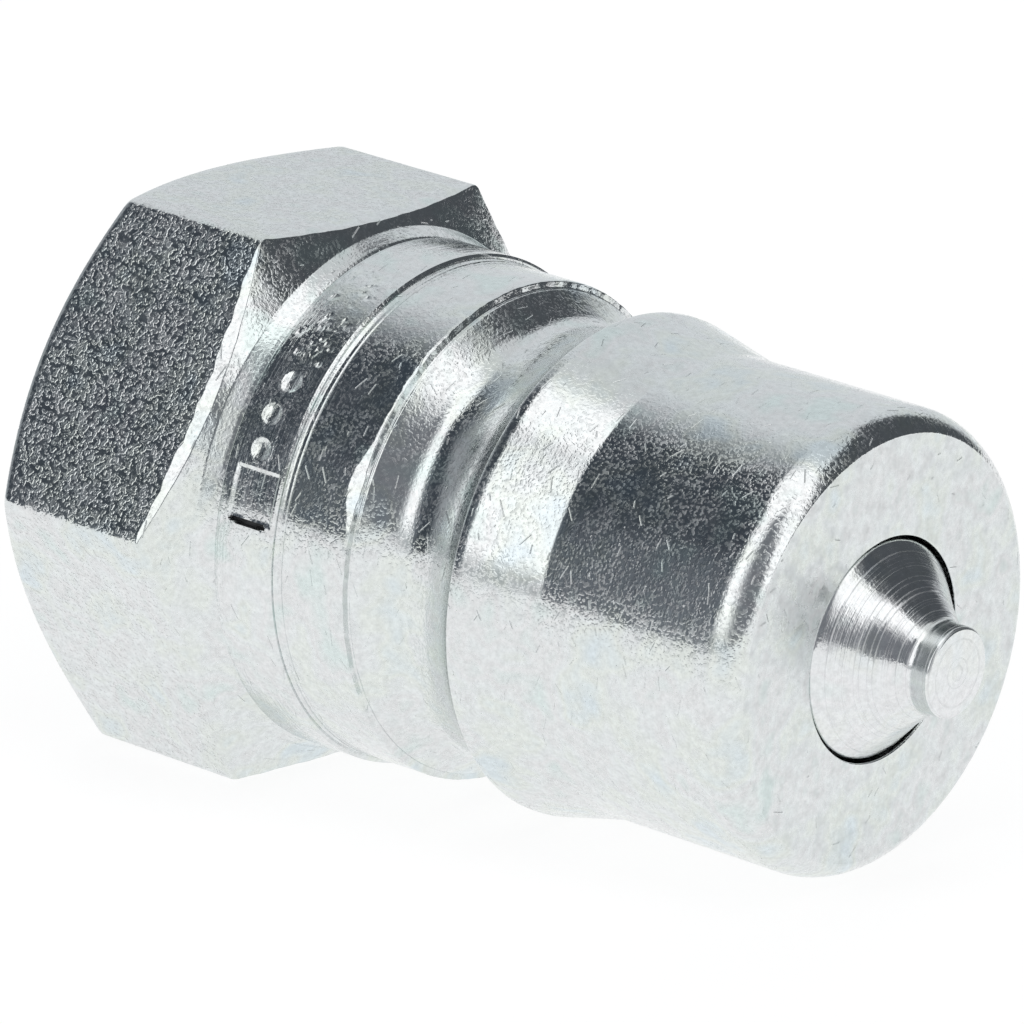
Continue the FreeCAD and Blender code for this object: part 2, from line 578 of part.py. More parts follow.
PIECES = [
    make_nipple_body(),
    make_poppet(),
    make_poppet_seal(),
    make_valve_guide(),
    make_retaining_ring(),
    make_valve_spring(),
]
doc.recompute()

for item in doc.Objects:
    if "Invalid" in item.State or "Error" in item.State:
        raise ValueError(f"{item.Name} failed: {item.State}")
os.makedirs("parts", exist_ok=True)
for piece in PIECES:
    shape = piece.Shape
    if shape.isNull() or not shape.isValid() or len(shape.Solids) != 1:
        raise ValueError(f"{piece.Label} is not one valid solid")
    shape.exportStep(f"parts/{piece.Label}.step")
    print(piece.Label, round(shape.Volume, 2), shape.BoundBox)
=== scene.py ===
"""Hydraulic quick-coupling nipple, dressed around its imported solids.

The axis is X and the nose points to +X. Sizes and stations in this file are in millimetres, and angles round
the axis are in degrees from +Y towards +Z. The meshes are in metres.
"""
import math

import bmesh
import bpy
import numpy as np
from mathutils import Matrix, Vector


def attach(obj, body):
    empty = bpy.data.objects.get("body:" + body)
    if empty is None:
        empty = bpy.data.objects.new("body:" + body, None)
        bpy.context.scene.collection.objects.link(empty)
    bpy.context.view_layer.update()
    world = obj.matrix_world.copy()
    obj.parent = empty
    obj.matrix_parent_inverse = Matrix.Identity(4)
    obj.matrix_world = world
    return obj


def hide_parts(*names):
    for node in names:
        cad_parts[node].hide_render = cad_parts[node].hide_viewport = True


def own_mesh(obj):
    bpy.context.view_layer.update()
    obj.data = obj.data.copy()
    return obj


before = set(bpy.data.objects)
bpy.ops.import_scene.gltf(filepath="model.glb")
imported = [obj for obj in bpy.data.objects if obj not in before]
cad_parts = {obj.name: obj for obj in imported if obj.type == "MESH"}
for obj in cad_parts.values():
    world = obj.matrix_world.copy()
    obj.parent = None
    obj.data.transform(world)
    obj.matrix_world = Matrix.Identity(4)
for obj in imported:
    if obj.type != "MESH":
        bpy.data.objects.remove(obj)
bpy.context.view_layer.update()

MM = 0.001

# Hexagon, and the slope from its shoulder down to the marking band
HALF_FLATS = 13.5
BAR_RADIUS = 15.49
BAR_BLEND = 0.12
REAR_EDGE = 12.77
HEX_REAR = 1.75
HEX_FRONT = 10.35
SHOULDER = 11.55
SHOULDER_RADIUS = 12.9
SLOPE_REAR = 11.75
SLOPE_REAR_RADIUS = 12.8
SLOPE_FRONT = 12.3
SLOPE_FRONT_RADIUS = 12.52

# Worn bevel on the flats' front edges, narrowest at the corners
WORN_WIDTH = 0.7
WORN_LOSS = 0.56
WORN_POWER = 1.5
WORN_DROP = 0.28
WORN_LAND = 0.06

# Marking band, and the seat that it lies in
BAND_REAR = 12.35
BAND_FRONT = 16.0
BAND_RADIUS = 12.5
BAND_SEAT = 12.05
BAND_SEAT_REAR = BAND_REAR + 0.25
BAND_SEAT_FRONT = BAND_FRONT - 0.2
BAND_FOOT = BAND_SEAT - 0.1

# Dimples, dents and pad of the marking band, and the slot where its strip ends
DIMPLES = ((14.32, 141), (14.08, 149), (14.2, 156.9))
DIMPLE_RADIUS = 0.56
DIMPLE_DEPTH = 0.13
DENT_STRETCHES = ((123, 136, 34), (101, 119, 22))
DENT_STATIONS = (13.1, 15.4)
DENT_RADII = (0.1, 0.24)
DENT_DEPTHS = (0.012, 0.035)
PAD_STATION = 14.45
PAD_ANGLE = 166.9
PAD_HALF_WIDTH = 1.25
PAD_HALF_TURN = 5.6
PAD_EDGE = 0.025
PAD_DEPTH = 0.07
SLOT_STATION = 14.3
SLOT_ANGLE = 173.2
SLOT_HALF_LENGTH = 1.2
SLOT_HALF_WIDTH = 0.13
SLOT_DEPTH = 0.3

# Collar, the score round it, and the burr that the tool left on its front edge
COLLAR_REAR = 16.15
COLLAR_FRONT = 20.2
COLLAR_RADIUS = 12.2
SCORE = COLLAR_REAR + 0.27
SCORE_HALF = 0.07
SCORE_DEPTH = 0.03
EDGE_BREAK = 0.12
EDGE_DROP = 0.3
BURR_ANGLE = 158
BURR_SPREAD = 7
BURR_REACH = 0.55

# Ball track
TRACK_REAR = 20.29
TRACK_RIM = 11.96
TRACK_LIP_FRONT = TRACK_REAR + 0.15
TRACK_LIP = TRACK_RIM - 0.12
TRACK_LIP_FALL = 0.02
TRACK_FLOOR = 10.48
TRACK_WALL = math.radians(40)
TRACK_BOTTOM = 1.8
TRACK_SWEEP = 5.27
WALL_FOOT_RISE = TRACK_BOTTOM * (1 - math.cos(TRACK_WALL))
WALL_FOOT = TRACK_REAR + (TRACK_RIM - TRACK_FLOOR - WALL_FOOT_RISE) / math.tan(TRACK_WALL)
TRACK_MIDDLE = WALL_FOOT + TRACK_BOTTOM * math.sin(TRACK_WALL)

# Locking ring, cone and nose
CREST_REAR = 26.577
CREST_FRONT = 27.037
CREST_RADIUS = 12.17
CONE_FRONT = 31.137
NOSE_RADIUS = 11.22
NOSE_FRONT = 40.95
NOSE_ROUND = 1.9
FACE = 42.6

# Bores
PORT_MOUTH = 0.45
PORT_RADIUS = 10.4775
PORT_END = 14.0
LOCATING_RADIUS = 9.2
GROOVE_REAR = 15.2
GROOVE_FRONT = 16.5
GROOVE_RADIUS = 9.8
CHAMBER_REAR = 18.7
CHAMBER_RADIUS = 8.2
SEAT_FRONT = 39.6
MOUTH_RADIUS = 5.41

# Thread of the port
THREAD_CREST = 9.3155
THREAD_PITCH = 1.814
THREAD_START = 0.1
THREAD_END = 13.0
THREAD_STEPS = 96
THREAD_ROOT = PORT_RADIUS + 0.08

# Poppet
STEM_END = 14.3
STEM_RADIUS = 2.4
STEM_CHAMFER = 0.4
BOSS_REAR = 27.05
BOSS_RADIUS = 4.2
HEAD_REAR = 34.586
HEAD_RADIUS = 7.5
HEAD_RIM = 37.086
SEAL_STATION = 37.422
SEAL_RADIUS = 6.315
SEAL_GROOVE = 0.9
SEAL_GROOVE_REAR = (37.372, 7.214)
SEAL_GROOVE_FRONT = (38.321, 6.265)
HEAD_FRONT = 39.4
HEAD_FRONT_RADIUS = 5.18
FLARE_REAR = 42.1
FLARE_FRONT = 42.5
FLARE_RADIUS = 5.27
FLARE_FALL = 0.03
FLARE_LEAN = 0.07
LEAN_ANGLE = 170
WAIST = 44.0
WAIST_RADIUS = 3.65
TIP_REAR = 45.70
TIP_FRONT = 46.9
TIP_RADIUS = 2.19
TIP_CHAMFER = 0.12

# Valve spring
SPRING_REAR = 18.6
SPRING_FRONT = 34.58
WIRE_RADIUS = 0.55
COIL_RADIUS = 5.3
CLOSED_TURNS = 1.0
ACTIVE_TURNS = 4.5
CLOSED_PITCH = 1.12
SPRING_STEPS = 48
WIRE_SIDES = 14

# Edges sharper than this many degrees stay sharp in the shading
SHARP_TURNED = 40
SHARP_SWEPT = 50

# Places of the body's finishes in its list of materials
TURNED, FLAT, FACED = 0, 1, 2

# Shares of a profile's side that a rounding and the row beside it may take at most
ROUNDING_SHARE = 0.3
SUPPORT_SHARE = 0.45


# Mesh making
def around(step, close_to=(), close_step=None):
    """Angles of one turn, a step apart, and a closer step inside the stretches given as (first, last)."""
    angles, angle = [], 0.0
    while angle < 360.0 - 1e-6:
        angles.append(angle)
        close = any(first <= angle < last for first, last in close_to)
        angle += close_step if close else step
    return np.radians(np.array(angles))


def hexagon_angles():
    """Angles of one turn with the hexagon's corners on them, closer together near each corner."""
    near = [0, 0.15, 0.3, 0.45, 0.6, 0.8, 1.05, 1.4, 1.9]
    half = near + list(np.linspace(2.5, 30, 35))
    sector = half + [60 - angle for angle in reversed(half[1:-1])]
    return np.radians(np.array([60 * side + angle for side in range(6) for angle in sector]))


def waves(angles, *terms):
    """Unevenness round the axis, as waves given as (height, count in a turn, shift)."""
    return sum(height * np.sin(count * angles + shift) for height, count, shift in terms)


def section(corners, angles, steps=3):
    """Rows of a profile for every angle. A corner is (station, radius, setback): setback rounds it off."""
    count = len(angles)
    points = np.array([[np.broadcast_to(part, count) for part in corner[:2]] for corner in corners], float)
    rows, owners = [], []
    for index, corner in enumerate(corners):
        here, setback = points[index], corner[2]
        if not setback:
            rows.append(here)
            owners.append(index)
            continue
        back, ahead = points[index - 1] - here, points[(index + 1) % len(corners)] - here
        back_length, ahead_length = np.hypot(*back), np.hypot(*ahead)
        back, ahead = back / back_length, ahead / ahead_length
        start = here + back * np.minimum(setback, ROUNDING_SHARE * back_length)
        end = here + ahead * np.minimum(setback, ROUNDING_SHARE * ahead_length)
        rows.append(here + back * np.minimum(2 * setback, SUPPORT_SHARE * back_length))
        for share in np.linspace(0, 1, steps + 1):
            rows.append((1 - share) ** 2 * start + 2 * share * (1 - share) * here + share ** 2 * end)
        rows.append(here + ahead * np.minimum(2 * setback, SUPPORT_SHARE * ahead_length))
        owners += [index] * (steps + 3)
    return np.array(rows), owners


def arc(centre, radius, first, last, count):
    """Points of a profile's arc, without its two ends."""
    turns = np.linspace(math.radians(first), math.radians(last), count + 2)[1:-1]
    return [(centre[0] + radius * math.cos(a), centre[1] + radius * math.sin(a), 0) for a in turns]


def mesh_piece(name, points, faces, finishes=None, sharp=SHARP_TURNED):
    """New object from points in millimetres. Finishes are the places of the faces' materials."""
    mesh = bpy.data.meshes.new(name)
    mesh.from_pydata([tuple(point) for point in np.asarray(points) * MM], [], faces)
    if finishes is not None:
        mesh.polygons.foreach_set("material_index", finishes)
    work = bmesh.new()
    work.from_mesh(mesh)
    bmesh.ops.remove_doubles(work, verts=work.verts, dist=1e-8)
    bmesh.ops.recalc_face_normals(work, faces=work.faces)
    work.to_mesh(mesh)
    work.free()
    mesh.shade_smooth()
    mesh.set_sharp_from_angle(angle=math.radians(sharp))
    piece = bpy.data.objects.new(name, mesh)
    bpy.context.scene.collection.objects.link(piece)
    return piece


def turned(name, rows, angles, closed=True, finish_at=None):
    """Piece of revolution from the rows of a section."""
    count_rows, count = len(rows), len(angles)
    stations, radii = rows[:, 0], rows[:, 1]
    points = np.stack([stations, radii * np.cos(angles), radii * np.sin(angles)], axis=-1).reshape(-1, 3)
    faces, finishes = [], []
    for row in range(count_rows if closed else count_rows - 1):
        after = (row + 1) % count_rows
        here, there = row * count, after * count
        for place in range(count):
            beside = (place + 1) % count
            faces.append((here + place, here + beside, there + beside, there + place))
        finishes += [finish_at(row, after) if finish_at else TURNED] * count
    return mesh_piece(name, points, faces, finishes)


def swept(name, sections):
    """Closed piece through a run of closed sections, capped at both ends."""
    sections = np.asarray(sections)
    runs, count = sections.shape[:2]
    faces = [tuple(range(count)), tuple((runs - 1) * count + place for place in reversed(range(count)))]
    for run in range(runs - 1):
        here, there = run * count, (run + 1) * count
        for place in range(count):
            beside = (place + 1) % count
            faces.append((here + place, here + beside, there + beside, there + place))
    return mesh_piece(name, sections.reshape(-1, 3), faces, sharp=SHARP_SWEPT)


def soft_least(first, second, blend):
    """The lesser of two, blended where they are close."""
    closeness = np.maximum(blend - np.abs(first - second), 0) / blend
    return np.minimum(first, second) - closeness ** 2 * blend / 4


# Body of the nipple, turned from hexagon bar
def make_hexagon_and_barrel():
    """Outside from the rear face to the nose, then back through the bores."""
    angles = hexagon_angles()
    from_middle = np.mod(angles, math.radians(60)) - math.radians(30)
    across = soft_least(HALF_FLATS / np.cos(from_middle), np.full(len(angles), BAR_RADIUS), BAR_BLEND)
    rear_slope = (BAR_RADIUS - REAR_EDGE) / HEX_REAR
    front_slope = (BAR_RADIUS - SHOULDER_RADIUS) / (SHOULDER - HEX_FRONT)
    rear_line = HEX_REAR - (BAR_RADIUS - across) / rear_slope
    front_line = HEX_FRONT + (BAR_RADIUS - across) / front_slope
    cornering = np.clip((across - HALF_FLATS) / (BAR_RADIUS - HALF_FLATS), 0, 1)
    worn = WORN_WIDTH - WORN_LOSS * cornering ** WORN_POWER + waves(angles, (0.05, 29, 0), (0.04, 71, 1))
    edge = COLLAR_FRONT + waves(angles, (0.018, 37, 0), (0.016, 83, 1), (0.012, 141, 2))
    bevel = EDGE_BREAK + BURR_REACH * np.exp(-((np.degrees(angles) - BURR_ANGLE) / BURR_SPREAD) ** 2)
    # The flats lie between this corner and the next one
    flats = 1
    corners = [
        (0, REAR_EDGE, 0.1),
        (rear_line, across, 0.2),
        (front_line - worn, across, 0.03),
        (front_line - WORN_LAND, across - WORN_DROP * worn, 0.03),
        (SHOULDER, SHOULDER_RADIUS, 0.06),
        (SLOPE_REAR, SLOPE_REAR_RADIUS, 0.05),
        (SLOPE_FRONT, SLOPE_FRONT_RADIUS, 0.04),
        (BAND_SEAT_REAR - 0.15, BAND_RADIUS - 0.1, 0.02),
        (BAND_SEAT_REAR, BAND_SEAT, 0),
        (BAND_SEAT_FRONT, BAND_SEAT, 0),
        (BAND_SEAT_FRONT + 0.18, BAND_RADIUS - 0.22, 0.02),
        (COLLAR_REAR, COLLAR_RADIUS, 0.05),
        (SCORE - SCORE_HALF, COLLAR_RADIUS, 0.015),
        (SCORE, COLLAR_RADIUS - SCORE_DEPTH, 0),
        (SCORE + SCORE_HALF, COLLAR_RADIUS, 0.015),
        (edge - bevel, COLLAR_RADIUS, 0.04),
        (edge, COLLAR_RADIUS - EDGE_DROP * bevel, 0.03),
        (TRACK_REAR, TRACK_LIP, 0.05),
        (TRACK_LIP_FRONT, TRACK_LIP - TRACK_LIP_FALL, 0.04),
        (WALL_FOOT, TRACK_FLOOR + WALL_FOOT_RISE, 0),
    ]
    wall_turn = math.degrees(TRACK_WALL)
    corners += arc((TRACK_MIDDLE, TRACK_FLOOR + TRACK_BOTTOM), TRACK_BOTTOM, 270 - wall_turn, 270, 10)
    corners.append((TRACK_MIDDLE, TRACK_FLOOR, 0))
    sweep_turn = math.degrees(math.asin((CREST_REAR - TRACK_MIDDLE) / TRACK_SWEEP))
    corners += arc((TRACK_MIDDLE, TRACK_FLOOR + TRACK_SWEEP), TRACK_SWEEP, 270, 270 + sweep_turn, 14)
    corners += [
        (CREST_REAR, CREST_RADIUS, 0.13),
        (CREST_FRONT, CREST_RADIUS, 0.14),
        (CONE_FRONT, NOSE_RADIUS, 0.1),
        (NOSE_FRONT, NOSE_RADIUS, 0),
    ]
    round_end = math.degrees(math.acos((FACE - NOSE_FRONT) / NOSE_ROUND))
    corners += arc((NOSE_FRONT, NOSE_RADIUS - NOSE_ROUND), NOSE_ROUND, 90, round_end, 10)
    face_edge = NOSE_RADIUS - NOSE_ROUND + NOSE_ROUND * math.sin(math.radians(round_end))
    corners += [
        (FACE, face_edge, 0.05),
        (FACE, MOUTH_RADIUS, 0.07),
        (SEAT_FRONT, MOUTH_RADIUS, 0),
        (SEAT_FRONT + MOUTH_RADIUS - CHAMBER_RADIUS, CHAMBER_RADIUS, 0),
        (CHAMBER_REAR, CHAMBER_RADIUS, 0),
        (CHAMBER_REAR, LOCATING_RADIUS, 0),
        (GROOVE_FRONT, LOCATING_RADIUS, 0),
        (GROOVE_FRONT, GROOVE_RADIUS, 0),
        (GROOVE_REAR, GROOVE_RADIUS, 0),
        (GROOVE_REAR, LOCATING_RADIUS, 0),
        (PORT_END, LOCATING_RADIUS, 0),
        (PORT_END, PORT_RADIUS, 0),
        (PORT_MOUTH, PORT_RADIUS, 0.04),
        (0, PORT_RADIUS + PORT_MOUTH, 0.05),
    ]
    rows, owners = section(corners, angles)

    def finish_at(row, after):
        if owners[row] == flats and owners[after] == flats + 1:
            return FLAT
        return FACED if min(rows[row, 0].min(), rows[after, 0].min()) > FACE - 1e-6 else TURNED

    piece = turned("hexagon_and_barrel", rows, angles, finish_at=finish_at)
    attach(piece, "nipple")
    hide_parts("nipple_body")
    return piece


# Marking band with plain dimples, dents, a sunk pad and a slot, whose floor has painted shade
def make_marking_band():
    angles = around(1.5, [(96, 186)], 0.3)
    stations = np.linspace(BAND_REAR + 0.2, BAND_FRONT - 0.14, 50)
    # The band's edges are broken, and its foot is sunk below its seat
    corners = [(BAND_REAR + 0.12, BAND_FOOT, 0), (BAND_REAR + 0.11, BAND_RADIUS - 0.12, 0)]
    corners += [(station, BAND_RADIUS, 0) for station in stations]
    corners += [(BAND_FRONT - 0.04, BAND_RADIUS - 0.13, 0), (BAND_FRONT - 0.06, BAND_FOOT, 0)]
    rows, _ = section(corners, angles)
    top = slice(2, -2)
    along, turn = rows[top, 0], np.broadcast_to(np.degrees(angles), rows[top, 0].shape)
    degree = math.radians(1) * BAND_RADIUS

    def dimple(station, angle, radius, depth):
        """Bowl with a low lip round it."""
        distance = np.hypot(along - station, (turn - angle) * degree) / radius
        bowl = -depth * np.clip(1 - distance ** 2, 0, None)
        return bowl + 0.12 * depth * np.exp(-((distance - 1.1) / 0.16) ** 2)

    relief = np.zeros(along.shape)
    for station, angle in DIMPLES:
        relief += dimple(station, angle, DIMPLE_RADIUS, DIMPLE_DEPTH)
    chance = np.random.RandomState(5)
    for first, last, count in DENT_STRETCHES:
        for _ in range(count):
            station, angle = chance.uniform(*DENT_STATIONS), chance.uniform(first, last)
            relief += dimple(station, angle, chance.uniform(*DENT_RADII), chance.uniform(*DENT_DEPTHS))
    from_pad_edge = np.minimum(
        PAD_HALF_WIDTH - np.abs(along - PAD_STATION), (PAD_HALF_TURN - np.abs(turn - PAD_ANGLE)) * degree)
    relief -= PAD_DEPTH / (1 + np.exp(-np.clip(from_pad_edge / PAD_EDGE, -40, 40)))
    taper = np.clip(1 - ((along - SLOT_STATION) / SLOT_HALF_LENGTH) ** 2, 0, None)
    slot_reach = SLOT_HALF_WIDTH * taper ** 0.5 + 0.03
    slot_wall = np.clip(3 - 3 * np.abs((turn - SLOT_ANGLE) * degree) / slot_reach, 0, 1)
    relief -= SLOT_DEPTH * (taper > 0.1) * slot_wall
    rows[top, 1] += relief
    piece = turned("marking_band", rows, angles)
    plated, slot_floor = 0, 1
    # Faces on the slot's sunk floor take the second material, painted shade in place of the slot's own
    # shading
    for face in piece.data.polygons:
        x, y, z = face.center / MM
        on_strip = BAND_REAR + 0.35 < x < BAND_FRONT - 0.35
        by_slot = abs(math.degrees(math.atan2(z, y)) - SLOT_ANGLE) < 1.5
        sunk = math.hypot(y, z) < BAND_RADIUS - 0.13
        face.material_index = slot_floor if on_strip and by_slot and sunk else plated
    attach(piece, "nipple")
    return piece


# Thread of the port: a helical ridge on the wall, which runs out at the port's end
def make_port_thread():
    side = THREAD_PITCH / 2 - 0.02
    # Front half of the ridge's shape, as (offset, radius), which the rear half mirrors
    shape = [(0.1, THREAD_CREST + 0.02), (0.24, THREAD_CREST + 0.14), (0.72, PORT_RADIUS - 0.14),
             (side, PORT_RADIUS - 0.01), (side, THREAD_ROOT)]
    shape = [(-offset, radius) for offset, radius in reversed(shape)] + shape
    steps = round((THREAD_END - THREAD_START) / THREAD_PITCH * THREAD_STEPS)
    sections = []
    for step in range(steps + 1):
        centre = THREAD_START + (THREAD_END - THREAD_START) * step / steps
        angle = 2 * math.pi * (centre - THREAD_START) / THREAD_PITCH
        run_out = min(1.0, (THREAD_END - centre) / (0.5 * THREAD_PITCH))
        ring = []
        for offset, radius in shape:
            station = max(centre + offset, 0.02)
            raised = THREAD_ROOT - (THREAD_ROOT - radius) * run_out
            raised = max(raised, PORT_RADIUS + PORT_MOUTH - station + 0.03)
            ring.append((station, raised * math.cos(angle), raised * math.sin(angle)))
        sections.append(ring)
    piece = swept("port_thread_ridge", sections)
    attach(piece, "nipple")
    return piece


# Poppet, its rim a little closer to the mouth's wall on one side
def make_poppet():
    angles = around(1.5)
    rim = FLARE_RADIUS + FLARE_LEAN * np.cos(angles - math.radians(LEAN_ANGLE))
    corners = [
        (STEM_END, 0, 0),
        (STEM_END, STEM_RADIUS - STEM_CHAMFER, 0),
        (STEM_END + STEM_CHAMFER, STEM_RADIUS, 0),
        (BOSS_REAR, STEM_RADIUS, 0),
        (BOSS_REAR, BOSS_RADIUS, 0.1),
        (HEAD_REAR, BOSS_RADIUS, 0),
        (HEAD_REAR, HEAD_RADIUS, 0.15),
        (HEAD_RIM, HEAD_RADIUS, 0.05),
        (*SEAL_GROOVE_REAR, 0.03),
        *arc((SEAL_STATION, SEAL_RADIUS), SEAL_GROOVE, 93.2, 356.8, 22),
        (*SEAL_GROOVE_FRONT, 0.03),
        (HEAD_FRONT, HEAD_FRONT_RADIUS, 0.1),
        (FLARE_REAR, rim, 0.05),
        (FLARE_FRONT, rim - FLARE_FALL, 0.16),
        (WAIST, WAIST_RADIUS, 0.25),
        (TIP_REAR, TIP_RADIUS, 0.22),
        (TIP_FRONT - TIP_CHAMFER, TIP_RADIUS, 0.05),
        (TIP_FRONT, TIP_RADIUS - TIP_CHAMFER, 0.04),
        (TIP_FRONT, 0, 0),
    ]
    rows, _ = section(corners, angles, steps=4)
    piece = turned("poppet_plug", rows, angles, closed=False)
    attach(piece, "poppet")
    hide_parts("poppet")
    return piece


# Valve spring, its end turns closed and ground
def make_spring():
    rear, front = SPRING_REAR, SPRING_FRONT
    turns = ACTIVE_TURNS + 2 * CLOSED_TURNS
    rise = front - rear - WIRE_RADIUS - turns * CLOSED_PITCH
    steps = round(turns * SPRING_STEPS)
    centres = []
    for step in range(steps + 1):
        turn = turns * step / steps
        share = min(max((turn - CLOSED_TURNS) / ACTIVE_TURNS, 0.0), 1.0)
        opened = share - math.sin(2 * math.pi * share) / (2 * math.pi)
        angle = 2 * math.pi * turn
        station = rear + WIRE_RADIUS / 2 + CLOSED_PITCH * turn + rise * opened
        centres.append((station, COIL_RADIUS * math.cos(angle), COIL_RADIUS * math.sin(angle)))
    centres = np.array(centres)
    sections = []
    for centre, direction in zip(centres, np.gradient(centres, axis=0)):
        direction = Vector(direction).normalized()
        outward = Vector((0, centre[1], centre[2])).normalized()
        outward = (outward - direction * outward.dot(direction)).normalized()
        side = direction.cross(outward)
        ring = []
        for place in range(WIRE_SIDES):
            turn = 2 * math.pi * place / WIRE_SIDES
            point = Vector(centre) + WIRE_RADIUS * (math.cos(turn) * outward + math.sin(turn) * side)
            point.x = min(max(point.x, rear), front)
            ring.append(tuple(point))
        sections.append(ring)
    piece = swept("spring_coils", sections)
    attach(piece, "nipple")
    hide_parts("valve_spring")
    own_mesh(piece)
    return piece


# Node making
class Nodes:
    """Short hand for one node tree."""

    def __init__(self, tree):
        self.tree = tree

    def add(self, kind, **settings):
        node = self.tree.nodes.new(kind)
        for name, value in settings.items():
            setattr(node, name, value)
        return node

    def feed(self, source, socket):
        """Link a socket, or set its value."""
        if hasattr(source, "is_output"):
            self.tree.links.new(source, socket)
        else:
            socket.default_value = source

    def math(self, operation, *sources):
        node = self.add("ShaderNodeMath", operation=operation)
        for source, socket in zip(sources, node.inputs):
            self.feed(source, socket)
        return node.outputs[0]

    def vector(self, operation, *sources):
        node = self.add("ShaderNodeVectorMath", operation=operation)
        for index, source in enumerate(sources):
            self.feed(source, node.inputs["Scale" if operation == "SCALE" and index == 1 else index])
        return node.outputs["Value" if operation in ("DOT_PRODUCT", "DISTANCE") else 0]

    def parts(self, vector):
        node = self.add("ShaderNodeSeparateXYZ")
        self.feed(vector, node.inputs[0])
        return node.outputs

    def point(self, x, y):
        node = self.add("ShaderNodeCombineXYZ")
        self.feed(x, node.inputs[0])
        self.feed(y, node.inputs[1])
        return node.outputs[0]

    def noise(self, place, scale, detail=2.0, roughness=0.5, dimensions="3D"):
        node = self.add("ShaderNodeTexNoise", noise_dimensions=dimensions)
        self.feed(place, node.inputs["W" if dimensions == "1D" else "Vector"])
        for name, value in (("Scale", scale), ("Detail", detail), ("Roughness", roughness)):
            self.feed(value, node.inputs[name])
        return node.outputs[0]

    def cells(self, place, scale):
        node = self.add("ShaderNodeTexVoronoi", voronoi_dimensions="2D")
        self.feed(place, node.inputs["Vector"])
        self.feed(scale, node.inputs["Scale"])
        return node.outputs

    def between(self, value, low, high, to_low=0.0, to_high=1.0, smooth=True):
        """Value's place from low to high, as a place from to_low to to_high."""
        node = self.add("ShaderNodeMapRange", interpolation_type="SMOOTHSTEP" if smooth else "LINEAR")
        for source, socket in zip((value, low, high, to_low, to_high), node.inputs):
            self.feed(source, socket)
        return node.outputs[0]

    def ramp(self, share, stops):
        """Colours given as (place, colour)."""
        node = self.add("ShaderNodeValToRGB")
        elements = node.color_ramp.elements
        for index, (place, colour) in enumerate(stops):
            stop = elements[index] if index < 2 else elements.new(place)
            stop.position, stop.color = place, colour
        self.feed(share, node.inputs[0])
        return node.outputs[0]

    def mixed(self, share, first, second, blend_type="MIX"):
        node = self.add("ShaderNodeMix", data_type="RGBA", blend_type=blend_type)
        for source, socket in ((share, node.inputs[0]), (first, node.inputs[6]), (second, node.inputs[7])):
            self.feed(source, socket)
        return node.outputs[2]

    def bump(self, height):
        """Normal of a surface with heights in millimetres."""
        node = self.add("ShaderNodeBump")
        node.inputs["Distance"].default_value = MM
        self.feed(height, node.inputs["Height"])
        return node.outputs[0]

    def chosen(self, share, first, second):
        """Shader that goes from the first to the second."""
        node = self.add("ShaderNodeMixShader")
        for source, socket in zip((share, first.outputs[0], second.outputs[0]), node.inputs):
            self.feed(source, socket)
        return node

    def placed(self, group, **values):
        node = self.add("ShaderNodeGroup", node_tree=group)
        for name, value in values.items():
            self.feed(value, node.inputs[name])
        return node.outputs


def new_group(name, inputs, outputs):
    """Empty shader node group. Inputs are (name, kind, value), outputs are (name, kind)."""
    tree = bpy.data.node_groups.new(name, "ShaderNodeTree")
    for socket_name, kind, value in inputs:
        socket = tree.interface.new_socket(name=socket_name, in_out="INPUT", socket_type=kind)
        if value is not None:
            socket.default_value = value
    for socket_name, kind in outputs:
        tree.interface.new_socket(name=socket_name, in_out="OUTPUT", socket_type=kind)
    make = Nodes(tree)
    taken = make.add("NodeGroupInput").outputs
    given = make.add("NodeGroupOutput").inputs
    return tree, make, taken, given


FLOAT, VECTOR, COLOUR = "NodeSocketFloat", "NodeSocketVector", "NodeSocketColor"

# The length along a turned surface is its station plus this share of its radius
RADIUS_SHARE = -0.77
UNROLLED_RADIUS = 12.0

# A turning tool's broad rings against its fine ones, and how many patches of specks a millimetre has
BROAD_RINGS = 4.3
BROAD_HEIGHT = 2.0
RING_SPAN = (0.5, 0.72)
PATCHES = 0.55
PATCH_SPAN = (0.38, 0.6)

# Uneven roughness: its scale, and its least and most as shares of the finish's roughness
UNEVEN_SCALE = 1.2
UNEVEN_SPAN = (0.35, 0.75)
UNEVEN_LEAST = 0.8
UNEVEN_MOST = 1.7

# Scratches from handling
NICK_SPACING = 0.95
NICK_LENGTH = 0.42
NICK_WIDTH = 0.045
NICK_DEPTH = 0.013
NICK_SWING = math.radians(40)
NICK_ROUGHNESS = 0.15

# Clear zinc plating: cloudy shades, and a film with a faint blue, yellow, pink and green
MOTTLE_SCALE = 3.2
MOTTLE_SPAN = (0.3, 0.7)
MOTTLE_SHADES = (0.9, 1.05)
FILM_SCALE = 0.3
PLATING_FILM = (
    (0.3, (0.92, 0.97, 1.0, 1)),
    (0.42, (0.995, 1, 0.955, 1)),
    (0.5, (1, 1, 1, 1)),
    (0.58, (1, 0.975, 0.975, 1)),
    (0.7, (0.94, 1, 0.98, 1)),
)


def make_lathe_place():
    """Place in millimetres, its unrolled place, and a length that grows along every turned surface."""
    tree, make, _, given = new_group(
        "lathe_place", [], [("Place", VECTOR), ("Unrolled", VECTOR), ("Along", FLOAT)])
    place = make.vector("SCALE", make.add("ShaderNodeTexCoord").outputs["Object"], 1 / MM)
    x, y, z = make.parts(place)
    radius = make.math("SQRT", make.math("ADD", make.math("MULTIPLY", y, y), make.math("MULTIPLY", z, z)))
    along = make.math("ADD", x, make.math("MULTIPLY", radius, RADIUS_SHARE))
    # The seam of the unrolled place lies low at the back
    turn = make.math("ARCTAN2", make.math("ADD", z, y), make.math("SUBTRACT", z, y))
    make.feed(place, given["Place"])
    make.feed(make.point(along, make.math("MULTIPLY", turn, UNROLLED_RADIUS)), given["Unrolled"])
    make.feed(along, given["Along"])
    return tree


